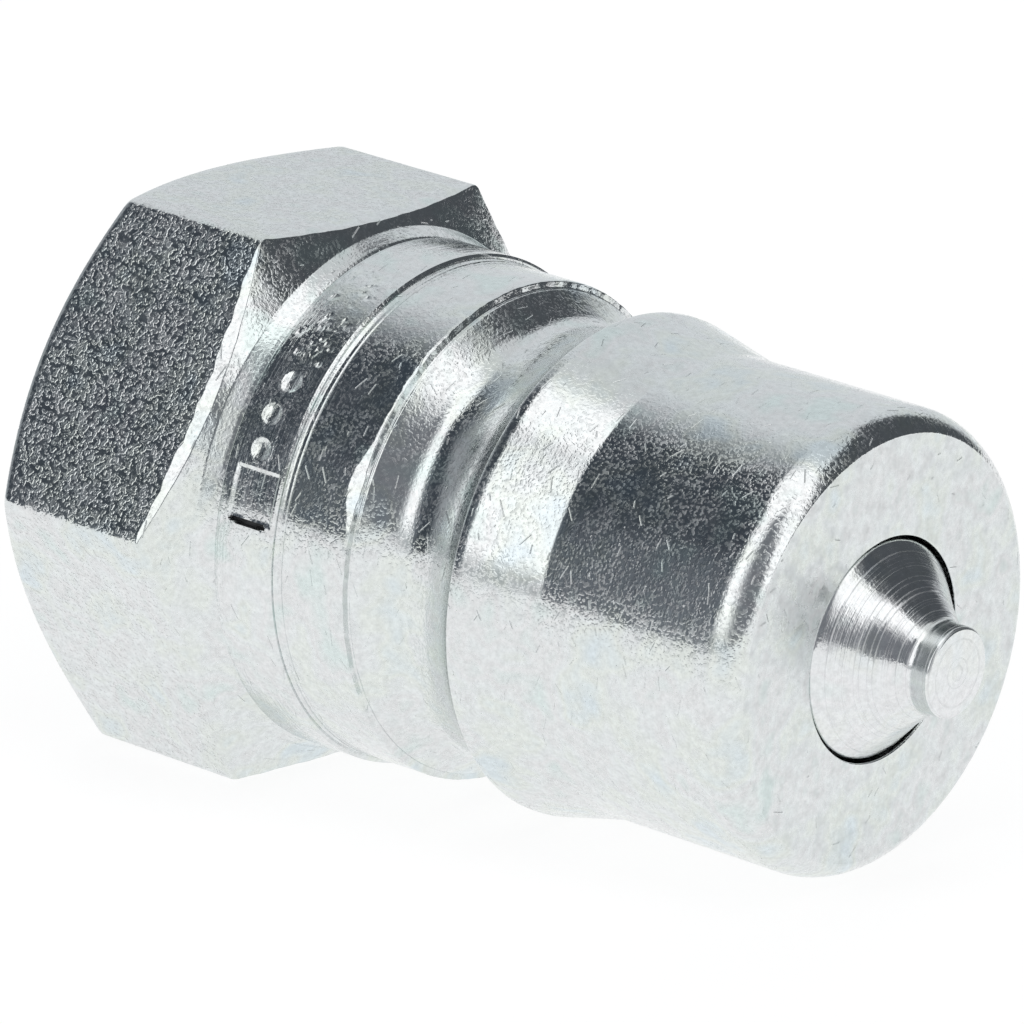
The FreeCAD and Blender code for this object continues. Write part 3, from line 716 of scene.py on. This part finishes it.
def make_turning_marks():
    """Height in millimetres and mask of the rings that a turning tool leaves."""
    tree, make, taken, given = new_group(
        "turning_marks", [("Along", FLOAT, 0.0), ("Feed", FLOAT, 0.12), ("Depth", FLOAT, 0.002)],
        [("Height", FLOAT), ("Mask", FLOAT)])
    fine = make.noise(make.math("DIVIDE", taken["Along"], taken["Feed"]), 1.0, 2.0, 0.6, "1D")
    broad_feed = make.math("MULTIPLY", taken["Feed"], BROAD_RINGS)
    broad = make.noise(make.math("DIVIDE", taken["Along"], broad_feed), 1.0, 1.0, 0.6, "1D")
    height = make.math("ADD", fine, make.math("MULTIPLY", broad, BROAD_HEIGHT))
    make.feed(make.math("MULTIPLY", height, taken["Depth"]), given["Height"])
    make.feed(make.between(fine, *RING_SPAN), given["Mask"])
    return tree


def make_tumbled_grain():
    """Height in millimetres and mask of a tumbled surface's fine specks, denser in some patches."""
    tree, make, taken, given = new_group(
        "tumbled_grain", [("Place", VECTOR, None), ("Grain", FLOAT, 0.2), ("Depth", FLOAT, 0.01),
                          ("Level", FLOAT, 0.4), ("Span", FLOAT, 0.2), ("Evenness", FLOAT, 0.5)],
        [("Height", FLOAT), ("Mask", FLOAT)])
    fine = make.noise(taken["Place"], make.math("DIVIDE", 1.0, taken["Grain"]), 1.0, 0.55)
    specks = make.between(fine, taken["Level"], make.math("ADD", taken["Level"], taken["Span"]))
    patches = make.between(make.noise(taken["Place"], PATCHES, 1.0), *PATCH_SPAN, taken["Evenness"], 1.0)
    mask = make.math("MULTIPLY", specks, patches)
    make.feed(make.math("MULTIPLY", mask, taken["Depth"]), given["Height"])
    make.feed(mask, given["Mask"])
    return tree


def make_nicks():
    """Mask of short scratches, each with its own direction and length, on the unrolled surface."""
    tree, make, taken, given = new_group(
        "handling_nicks",
        [("Unrolled", VECTOR, None), ("Spacing", FLOAT, 1.0), ("Share", FLOAT, 0.5), ("Length", FLOAT, 0.3),
         ("Width", FLOAT, 0.05)],
        [("Mask", FLOAT)])
    cells = make.cells(taken["Unrolled"], make.math("DIVIDE", 1.0, taken["Spacing"]))
    offset = make.vector("SUBTRACT", taken["Unrolled"], cells["Position"])
    swing_chance, length_chance, share_chance = make.parts(cells["Color"])
    swing = make.between(swing_chance, 0.0, 1.0, -NICK_SWING, NICK_SWING, smooth=False)
    direction = make.point(make.math("SINE", swing), make.math("COSINE", swing))
    half = make.math("MULTIPLY", taken["Length"], length_chance)
    reach = make.math("MINIMUM", make.vector("DOT_PRODUCT", offset, direction), half)
    held = make.math("MAXIMUM", reach, make.math("MULTIPLY", half, -1.0))
    distance = make.vector("DISTANCE", offset, make.vector("SCALE", direction, held))
    groove = make.between(distance, make.math("MULTIPLY", taken["Width"], 0.2), taken["Width"], 1.0, 0.0)
    kept = make.math("LESS_THAN", share_chance, taken["Share"])
    make.feed(make.math("MULTIPLY", groove, kept), given["Mask"])
    return tree


def make_plating_tint():
    """Colour of a plated metal, a little cloudy."""
    tree, make, taken, given = new_group(
        "plating_tint",
        [("Place", VECTOR, None), ("Metal", COLOUR, (0.8, 0.82, 0.84, 1)), ("Amount", FLOAT, 1.0)],
        [("Color", COLOUR)])
    film = make.ramp(make.noise(taken["Place"], FILM_SCALE, 2.0, 0.6), PLATING_FILM)
    tinted = make.mixed(taken["Amount"], taken["Metal"], film, "MULTIPLY")
    clouds = make.noise(taken["Place"], MOTTLE_SCALE, 2.0, 0.7)
    mottle = make.between(clouds, *MOTTLE_SPAN, *MOTTLE_SHADES, smooth=False)
    make.feed(make.vector("SCALE", tinted, mottle), given["Color"])
    return tree


LATHE_PLACE = make_lathe_place()
TURNING_MARKS = make_turning_marks()
TUMBLED_GRAIN = make_tumbled_grain()
HANDLING_NICKS = make_nicks()
PLATING_TINT = make_plating_tint()


def emptied(owner):
    """Node tree of a material or world, with nothing in it."""
    owner.use_nodes = True
    owner.node_tree.nodes.clear()
    return Nodes(owner.node_tree)


def new_material(name):
    """Material with a plain shader."""
    material = bpy.data.materials.new(name)
    make = emptied(material)
    shader = make.add("ShaderNodeBsdfPrincipled")
    make.feed(shader.outputs[0], make.add("ShaderNodeOutputMaterial").inputs[0])
    return material, make, shader.inputs


def metal(name, colour, roughness, feed, mark_depth, grain, grain_depth, level=0.4, span=0.25, haze=0.0,
          evenness=0.5, scratches=0.0, ring_haze=0.0, tint=1.0):
    """Plated or bare steel. Haze is the roughness that specks add, and ring_haze what a tool's rings add."""
    material, make, shader = new_material(name)
    lathe = make.placed(LATHE_PLACE)
    specks = make.placed(TUMBLED_GRAIN, Place=lathe["Place"], Grain=grain, Depth=grain_depth, Level=level,
                         Span=span, Evenness=evenness)
    height = specks["Height"]
    uneven = make.between(make.noise(lathe["Place"], UNEVEN_SCALE), *UNEVEN_SPAN, UNEVEN_LEAST * roughness,
                          UNEVEN_MOST * roughness)
    if haze:
        uneven = make.math("ADD", uneven, make.math("MULTIPLY", specks["Mask"], haze))
    if mark_depth:
        marks = make.placed(TURNING_MARKS, Along=lathe["Along"], Feed=feed, Depth=mark_depth)
        height = make.math("ADD", height, marks["Height"])
        if ring_haze:
            uneven = make.math("ADD", uneven, make.math("MULTIPLY", marks["Mask"], ring_haze))
    if scratches:
        nicks = make.placed(HANDLING_NICKS, Unrolled=lathe["Unrolled"], Spacing=NICK_SPACING, Share=scratches,
                            Length=NICK_LENGTH, Width=NICK_WIDTH)
        height = make.math("SUBTRACT", height, make.math("MULTIPLY", nicks["Mask"], NICK_DEPTH))
        uneven = make.math("ADD", uneven, make.math("MULTIPLY", nicks["Mask"], NICK_ROUGHNESS))
    plate = make.placed(PLATING_TINT, Place=lathe["Place"], Metal=colour, Amount=tint)
    make.feed(plate["Color"], shader["Base Color"])
    make.feed(uneven, shader["Roughness"])
    make.feed(make.bump(height), shader["Normal"])
    make.feed(1.0, shader["Metallic"])
    return material


def dull(name, colour, lighter, roughness, grain, grain_depth):
    """Rubber, phosphated steel, or the painted shade of a hollow."""
    material, make, shader = new_material(name)
    lathe = make.placed(LATHE_PLACE)
    specks = make.placed(TUMBLED_GRAIN, Place=lathe["Place"], Grain=grain, Depth=grain_depth, Level=0.3,
                         Span=0.4, Evenness=1.0)
    share = make.between(make.noise(lathe["Place"], 2.0, 4.0), 0.35, 0.7)
    make.feed(make.mixed(share, colour, lighter), shader["Base Color"])
    make.feed(make.between(share, 0.0, 1.0, roughness, 0.8 * roughness), shader["Roughness"])
    make.feed(make.bump(specks["Height"]), shader["Normal"])
    return material


ZINC = (0.765, 0.797, 0.802, 1)
turned_zinc = metal(
    "zinc_on_turned_steel", ZINC, roughness=0.105, feed=0.11, mark_depth=0.0018, grain=0.16,
    grain_depth=0.0047, level=0.45, span=0.2, haze=0.2, evenness=0.65, scratches=0.3)
rolled_zinc = metal(
    "zinc_on_rolled_flats", ZINC, roughness=0.13, feed=0.3, mark_depth=0.0, grain=0.21,
    grain_depth=0.024, level=0.42, span=0.27, haze=0.12, evenness=0.8)
faced_zinc = metal(
    "zinc_on_nose_face", (0.75, 0.785, 0.79, 1), roughness=0.25, feed=0.22, mark_depth=0.002, grain=0.17,
    grain_depth=0.001, level=0.47, span=0.18, haze=0.05, scratches=0.15)
band_zinc = metal(
    "zinc_on_marking_band", ZINC, roughness=0.11, feed=0.2, mark_depth=0.012, grain=0.16,
    grain_depth=0.0052, level=0.45, span=0.2, haze=0.16, evenness=0.65, scratches=0.2)
thread_zinc = metal(
    "zinc_on_thread", (0.72, 0.74, 0.75, 1), roughness=0.2, feed=0.06, mark_depth=0.0015, grain=0.2,
    grain_depth=0.004)
poppet_steel = metal(
    "turned_poppet_steel", (0.8, 0.82, 0.83, 1), roughness=0.13, feed=0.16, mark_depth=0.0066, grain=0.17,
    grain_depth=0.002, ring_haze=0.25, tint=0.6)
guide_steel = metal(
    "machined_guide_steel", (0.6, 0.61, 0.62, 1), roughness=0.26, feed=0.1, mark_depth=0.003, grain=0.22,
    grain_depth=0.004, tint=0.4)
spring_wire = metal(
    "drawn_spring_wire", (0.4, 0.4, 0.41, 1), roughness=0.3, feed=0.2, mark_depth=0.0, grain=0.25,
    grain_depth=0.003, tint=0.2)
clip_steel = dull(
    "phosphated_clip_steel", (0.035, 0.036, 0.038, 1), (0.075, 0.077, 0.08, 1), roughness=0.55, grain=0.15,
    grain_depth=0.01)
# Painted shade: a near black material on the slot's floor, which stands in for the shade down in the slot
painted_slot_shade = dull(
    "painted_shade_slot_floor", (0.02, 0.021, 0.023, 1), (0.05, 0.051, 0.054, 1), roughness=0.6, grain=0.15,
    grain_depth=0.004)
seal_rubber = dull(
    "seal_rubber", (0.014, 0.014, 0.015, 1), (0.024, 0.024, 0.025, 1), roughness=0.6, grain=0.2,
    grain_depth=0.004)


def finish_with(piece, *materials):
    """Give a piece its materials. Clearing an empty list would still reset the faces' choice of material."""
    if len(piece.data.materials):
        piece.data.materials.clear()
    for material in materials:
        piece.data.materials.append(material)


finish_with(make_hexagon_and_barrel(), turned_zinc, rolled_zinc, faced_zinc)
finish_with(make_marking_band(), band_zinc, painted_slot_shade)
finish_with(make_port_thread(), thread_zinc)
finish_with(make_poppet(), poppet_steel)
finish_with(make_spring(), spring_wire)
finish_with(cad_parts["valve_guide"], guide_steel)
finish_with(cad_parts["retaining_ring"], clip_steel)
finish_with(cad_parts["poppet_seal"], seal_rubber)


# Camera, fitted to the photograph: its angles, what it looks at, and how far it stands off to each side
CAMERA_TURN = 39.20007
CAMERA_LIFT = 17.76168
CAMERA_ROLL = -3.618435
CAMERA_LENS = 327.15
CAMERA_TARGET = (25.55, 0, 0)
CAMERA_ACROSS = -4.07366
CAMERA_BELOW = -2.20876
CAMERA_BACK = 437.4181


def make_camera():
    turn, lift, roll = map(math.radians, (CAMERA_TURN, CAMERA_LIFT, CAMERA_ROLL))
    back = Vector((math.sin(turn) * math.cos(lift), -math.cos(turn) * math.cos(lift), math.sin(lift)))
    right = Vector((math.cos(turn), math.sin(turn), 0))
    down = (-back).cross(right)
    across = math.cos(roll) * right + math.sin(roll) * down
    below = -math.sin(roll) * right + math.cos(roll) * down
    data = bpy.data.cameras.new("photo_camera")
    data.lens, data.sensor_width = CAMERA_LENS, 36.0
    data.clip_start, data.clip_end = 0.01, 50.0
    camera = bpy.data.objects.new("photo_camera", data)
    place = Vector(CAMERA_TARGET) + CAMERA_ACROSS * across + CAMERA_BELOW * below + CAMERA_BACK * back
    camera.matrix_world = Matrix((
        (across.x, -below.x, back.x, place.x * MM),
        (across.y, -below.y, back.y, place.y * MM),
        (across.z, -below.z, back.z, place.z * MM),
        (0, 0, 0, 1)))
    bpy.context.scene.collection.objects.link(camera)
    bpy.context.scene.camera = camera


# Floor under the front edge of the lower flat and under the nose
FLOOR_GAP = 0.03
FLOOR_REACH = 3000.0
PAPER = (0.8, 0.8, 0.8, 1)
SHADED_PAPER = (0.24, 0.24, 0.24, 1)
PAPER_GLOW = 0.86


def make_floor():
    slope = (HALF_FLATS - NOSE_RADIUS) / (NOSE_FRONT - HEX_FRONT)
    ends = (-FLOOR_REACH, FLOOR_REACH)
    points = [(x, y, -HALF_FLATS - FLOOR_GAP + slope * (x - HEX_FRONT)) for x in ends for y in ends]
    floor = mesh_piece("studio_floor", points, [(0, 1, 3, 2)])
    if floor.data.polygons[0].normal.z < 0:
        floor.data.flip_normals()
    material = bpy.data.materials.new("pale_floor")
    make = emptied(material)
    path = make.add("ShaderNodeLightPath").outputs
    mirrored = make.math("MAXIMUM", path["Is Glossy Ray"], path["Is Transmission Ray"])
    seen = make.math("MAXIMUM", path["Is Camera Ray"], mirrored)
    paper, shaded = make.add("ShaderNodeBsdfDiffuse"), make.add("ShaderNodeBsdfDiffuse")
    paper.inputs["Color"].default_value = PAPER
    shaded.inputs["Color"].default_value = SHADED_PAPER
    glow = make.add("ShaderNodeEmission")
    glow.inputs["Strength"].default_value = PAPER_GLOW
    glowing = make.add("ShaderNodeAddShader")
    make.feed(shaded.outputs[0], glowing.inputs[0])
    make.feed(glow.outputs[0], glowing.inputs[1])
    floor_shader = make.chosen(seen, paper, glowing)
    make.feed(floor_shader.outputs[0], make.add("ShaderNodeOutputMaterial").inputs[0])
    finish_with(floor, material)


# Light tent as the metal sees it: rows of cards and windows one above the other. A row gives way to the next
# one between two lifts in degrees. A turn in degrees is 0 at -Y and 90 at +X.
MIDDLE_LIFTS = (4.0, 11.0)
UPPER_LIFTS = (30.0, 46.0)
TOP_LIFTS = (57.0, 63.0)


def make_studio():
    world = bpy.data.worlds.new("light_tent")
    bpy.context.scene.world = world
    make = emptied(world)
    x, y, z = make.parts(make.add("ShaderNodeTexCoord").outputs["Generated"])
    turn = make.math("ARCTAN2", x, make.math("MULTIPLY", y, -1.0))
    share = make.between(turn, -math.pi, math.pi, smooth=False)
    lift = make.math("DEGREES", make.math("ARCSINE", z))

    def row(*stops):
        """Shades around the tent, each given as (turn in degrees, shade)."""
        return make.ramp(share, [((degrees + 180) / 360, (*shade, 1)) for degrees, shade in stops])

    window, sill, bar = (1.31, 1.31, 1.31), (0.52, 0.54, 0.55), (0.20, 0.21, 0.23)
    pane_edge, bar_edge = (0.95, 0.96, 0.97), (0.42, 0.43, 0.45)
    wall, ceiling, room = (0.745, 0.77, 0.79), (0.70, 0.72, 0.73), (0.080, 0.088, 0.098)
    card, card_foot, card_side = (0.052, 0.062, 0.076), (0.140, 0.156, 0.178), (0.34, 0.36, 0.38)
    horizon = row(
        (-180, room), (-176, room), (-170, wall), (-115, wall), (-102, card_side), (-64, card_side),
        (-56, card), (-44, card), (-38, card_foot), (-35.5, card_foot), (-24, sill), (14, sill), (24, bar),
        (67, bar), (74, sill), (98, sill), (106, room), (180, room))
    middle = row(
        (-180, room), (-177, room), (-170, wall), (-115, wall), (-102, card_side), (-64, card_side),
        (-56, card), (-44, card), (-38, card_foot), (-34, card_foot), (-27, card_side), (-18, window),
        (3, window), (12, pane_edge), (22, bar_edge), (32, bar), (67, bar), (75, window), (98, window),
        (104, room), (180, room))
    upper = row(
        (-180, room), (-177, room), (-168, wall), (-120, wall), (-100, card_side), (-86, card), (-35, card),
        (-28, card_side), (-18, window), (4, window), (13, pane_edge), (23, bar_edge), (32, bar), (57, bar),
        (69, window), (97, window), (106, room), (180, room))
    top = row((-180, ceiling), (-100, ceiling), (-70, window), (96, window), (125, ceiling), (180, ceiling))
    colour = make.mixed(make.between(lift, *MIDDLE_LIFTS), horizon, middle)
    colour = make.mixed(make.between(lift, *UPPER_LIFTS), colour, upper)
    colour = make.mixed(make.between(lift, *TOP_LIFTS), colour, top)

    studio, plain = make.add("ShaderNodeBackground"), make.add("ShaderNodeBackground")
    make.feed(colour, studio.inputs["Color"])
    plain.inputs["Color"].default_value = (1, 1, 1, 1)
    path = make.add("ShaderNodeLightPath").outputs
    seen = make.math("MAXIMUM", path["Is Camera Ray"], path["Is Transmission Ray"])
    make.feed(make.chosen(seen, studio, plain).outputs[0], make.add("ShaderNodeOutputWorld").inputs[0])


make_camera()
make_floor()
make_studio()
bpy.context.scene.view_settings.view_transform = "Standard"
